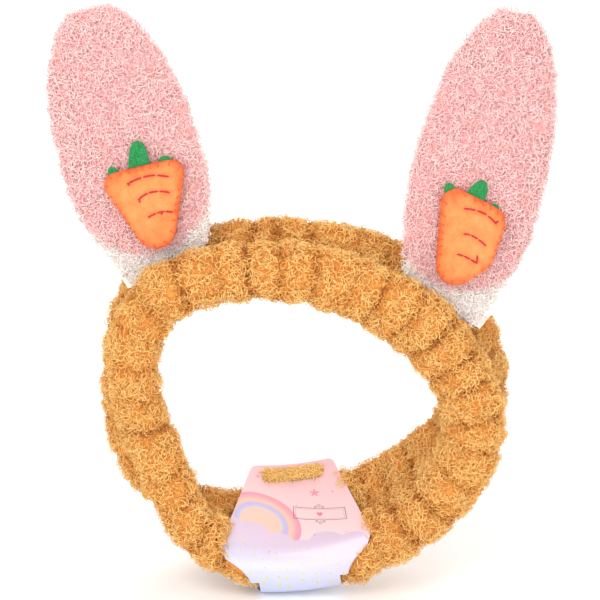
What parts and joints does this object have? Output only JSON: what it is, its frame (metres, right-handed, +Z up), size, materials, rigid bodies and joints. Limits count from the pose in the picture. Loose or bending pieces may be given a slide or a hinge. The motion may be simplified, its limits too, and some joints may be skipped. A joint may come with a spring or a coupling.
{
  "type": "animal ears headband",
  "caption": "Gathered plush headband with a pair of stuffed rabbit ears, a stuffed carrot on each ear and a folded card hang tag.",
  "frame": {"origin": "centre of the head opening, midway through the band", "axes": "+Z up towards the ears, -Y to the front where the carrots are, +X to the right as the front is viewed"},
  "size_m": [0.2455, 0.0649, 0.295],
  "materials": {
    "yellow_plush": "curly gathered fleece pile",
    "elastic": "woven elastic",
    "pink_plush": "short curly fleece pile",
    "cream_plush": "short curly fleece pile",
    "fibre_filling": "loose polyester fibre",
    "orange_cloth": "fine ribbed velour",
    "green_felt": "pressed felt",
    "red_thread": "twisted embroidery thread",
    "orange_thread": "twisted sewing thread",
    "cream_thread": "twisted sewing thread",
    "yellow_thread": "twisted sewing thread",
    "printed_card": "glossy printed pastel card"
  },
  "bodies": {
    "band": {"band_sleeve": "yellow_plush", "elastic_join_stitches": "yellow_thread", "elastic_loop": "elastic", "left_ear_base_hem": "cream_plush", "left_ear_base_stitches": "cream_thread", "right_ear_base_hem": "cream_plush", "right_ear_base_stitches": "cream_thread", "sleeve_end_seam": "yellow_thread", "sleeve_long_seam": "yellow_thread"},
    "left_ear": {"left_carrot_back": "orange_cloth", "left_carrot_edge_stitches": "orange_thread", "left_carrot_filling": "fibre_filling", "left_carrot_front": "orange_cloth", "left_carrot_leaf_left": "green_felt", "left_carrot_leaf_middle": "green_felt", "left_carrot_leaf_right": "green_felt", "left_carrot_line_stitches": "red_thread", "left_ear_back": "cream_plush", "left_ear_front": "pink_plush", "left_ear_wadding": "fibre_filling"},
    "right_ear": {"right_carrot_back": "orange_cloth", "right_carrot_edge_stitches": "orange_thread", "right_carrot_filling": "fibre_filling", "right_carrot_front": "orange_cloth", "right_carrot_leaf_left": "green_felt", "right_carrot_leaf_middle": "green_felt", "right_carrot_leaf_right": "green_felt", "right_carrot_line_stitches": "red_thread", "right_ear_back": "cream_plush", "right_ear_front": "pink_plush", "right_ear_wadding": "fibre_filling"},
    "tag": {"hang_tag": "printed_card"}
  },
  "joints": [
    {"name": "left_ear_fold", "type": "hinge", "parent": "band", "child": "left_ear", "pos_m": [-0.07046, 0.00083, 0.07817], "axis": [0.8387, 0, 0.5446], "range_deg": [-45, 25], "stiffness_Nm_per_rad": 0.04},
    {"name": "right_ear_fold", "type": "hinge", "parent": "band", "child": "right_ear", "pos_m": [0.07238, -0.00312, 0.0597], "axis": [0.788, 0, -0.6157], "range_deg": [-45, 25], "stiffness_Nm_per_rad": 0.04},
    {"name": "tag_slide", "type": "hinge", "parent": "band", "child": "tag", "pos_m": [-0.0165, 0, 0.0432], "axis": [0, 1, 0], "range_deg": [-4, 4]}
  ]
}
